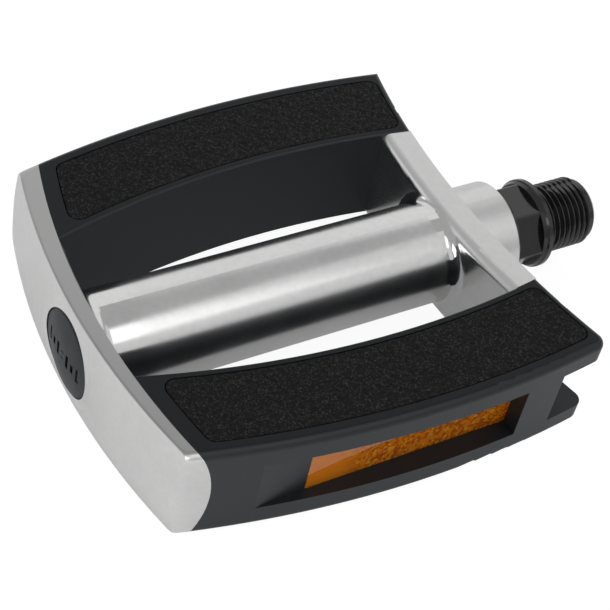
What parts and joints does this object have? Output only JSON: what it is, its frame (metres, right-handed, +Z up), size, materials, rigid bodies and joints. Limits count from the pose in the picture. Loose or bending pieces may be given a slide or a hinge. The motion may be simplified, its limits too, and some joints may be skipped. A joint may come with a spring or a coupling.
{
  "type": "flat pedal",
  "caption": "Flat bicycle pedal: aluminium barrel, end plate and crossbar with black plastic treads, grip pads, amber reflectors and a threaded steel spindle.",
  "frame": {"origin": "on the spindle axis, on the collar face that seats against the crank arm", "axes": "+X along the spindle towards the crank, +Z up, -Y towards the front tread"},
  "size_m": [0.1157, 0.0862, 0.0224],
  "materials": {
    "cast_aluminium": "satin brushed",
    "black_steel": "gloss black",
    "bright_steel": "ground",
    "black_plastic": "fine texture",
    "grip_sheet": "coarse grit",
    "amber_lens": "prismatic",
    "lens_backing": "smooth",
    "cap_plastic": "satin",
    "seal_rubber": "matte"
  },
  "bodies": {
    "spindle": {"spindle": "black_steel", "outer_cone": "bright_steel", "keyed_washer": "bright_steel", "lock_nut": "bright_steel"},
    "pedal_body": {"body_casting": "cast_aluminium", "inner_bearing_cup": "bright_steel", "outer_bearing_cup": "bright_steel", "dust_seal": "seal_rubber", "dust_cap": "cap_plastic", "front_tread": "black_plastic", "front_top_grip_pad": "grip_sheet", "front_bottom_grip_pad": "grip_sheet", "front_reflector_lens": "amber_lens", "front_reflector_back": "lens_backing", "front_tread_screws": "bright_steel", "rear_tread": "black_plastic", "rear_top_grip_pad": "grip_sheet", "rear_bottom_grip_pad": "grip_sheet", "rear_reflector_lens": "amber_lens", "rear_reflector_back": "lens_backing", "rear_tread_screws": "bright_steel"},
    "inner_balls": {"inner_balls": "bright_steel"},
    "outer_balls": {"outer_balls": "bright_steel"}
  },
  "joints": [
    {"name": "body_spin", "type": "hinge", "parent": "spindle", "child": "pedal_body", "pos_m": [0, 0, 0], "axis": [1, 0, 0], "continuous": true},
    {"name": "inner_balls_orbit", "type": "hinge", "parent": "spindle", "child": "inner_balls", "pos_m": [0, 0, 0], "axis": [1, 0, 0], "continuous": true},
    {"name": "outer_balls_orbit", "type": "hinge", "parent": "spindle", "child": "outer_balls", "pos_m": [0, 0, 0], "axis": [1, 0, 0], "continuous": true}
  ],
  "couplings": [
    {"joint": "inner_balls_orbit", "follows": "body_spin", "ratio": 0.581},
    {"joint": "outer_balls_orbit", "follows": "body_spin", "ratio": 0.594}
  ]
}
